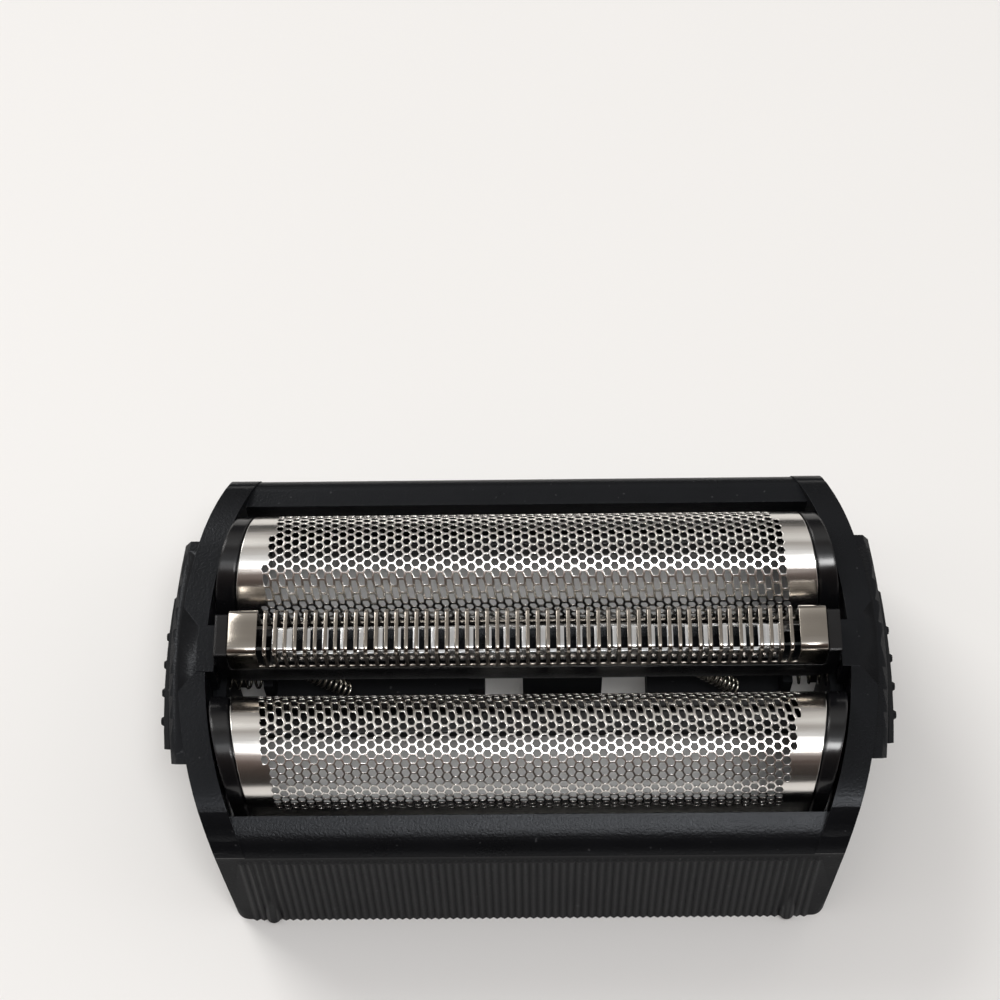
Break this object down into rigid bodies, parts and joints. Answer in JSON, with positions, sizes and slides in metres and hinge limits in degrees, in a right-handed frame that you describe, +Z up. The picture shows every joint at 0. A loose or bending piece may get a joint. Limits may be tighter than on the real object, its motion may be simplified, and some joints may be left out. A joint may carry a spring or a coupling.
{
  "type": "shaver foil head",
  "caption": "Electric shaver head: bulging black frame with ribbed walls, two floating perforated foils, a sprung slotted trimmer between them and release buttons at the ends.",
  "frame": {"origin": "middle of the footprint, on the plane of the frame's lower rim", "axes": "+X along the foils to the right, -Y the front long wall, +Z up out of the foils"},
  "size_m": [0.0618, 0.0372, 0.0198],
  "materials": {
    "moulded_black": "satin, fine grain",
    "gloss_black": "gloss",
    "nickel_foil": "polished",
    "nickel_comb": "satin",
    "blade_steel": "ground",
    "spring_steel": "drawn wire"
  },
  "bodies": {
    "housing": {"frame": "moulded_black", "trimmer_bridge": "moulded_black", "trimmer_spring_left": "spring_steel", "trimmer_spring_right": "spring_steel", "button_spring_left": "spring_steel", "button_spring_right": "spring_steel"},
    "front_foil_unit": {"front_foil": "nickel_foil", "front_foil_carrier": "gloss_black"},
    "rear_foil_unit": {"rear_foil": "nickel_foil", "rear_foil_carrier": "gloss_black"},
    "trimmer_unit": {"trimmer_comb": "nickel_comb", "trimmer_carrier": "gloss_black"},
    "trimmer_cutter": {"trimmer_blade": "blade_steel", "trimmer_blade_holder": "moulded_black"},
    "left_button": {"release_button_left": "moulded_black"},
    "right_button": {"release_button_right": "moulded_black"}
  },
  "joints": [
    {"name": "front_foil_float", "type": "slide", "parent": "housing", "child": "front_foil_unit", "axis": [0, 0, 1], "range_m": [0, 0.0012]},
    {"name": "rear_foil_float", "type": "slide", "parent": "housing", "child": "rear_foil_unit", "axis": [0, 0, 1], "range_m": [0, 0.0012]},
    {"name": "trimmer_float", "type": "slide", "parent": "housing", "child": "trimmer_unit", "axis": [0, 0, 1], "range_m": [-0.0015, 0], "stiffness_N_per_m": 300, "springref_m": 0.002, "deforming": ["trimmer_spring_left", "trimmer_spring_right"]},
    {"name": "blade_stroke", "type": "slide", "parent": "trimmer_unit", "child": "trimmer_cutter", "axis": [1, 0, 0], "range_m": [-0.0012, 0.0012]},
    {"name": "left_button_press", "type": "slide", "parent": "housing", "child": "left_button", "axis": [1, 0, 0], "range_m": [0, 0.0009], "stiffness_N_per_m": 500, "springref_m": -0.0015, "deforming": ["button_spring_left"]},
    {"name": "right_button_press", "type": "slide", "parent": "housing", "child": "right_button", "axis": [-1, 0, 0], "range_m": [0, 0.0009], "stiffness_N_per_m": 500, "springref_m": -0.0015, "deforming": ["button_spring_right"]}
  ]
}
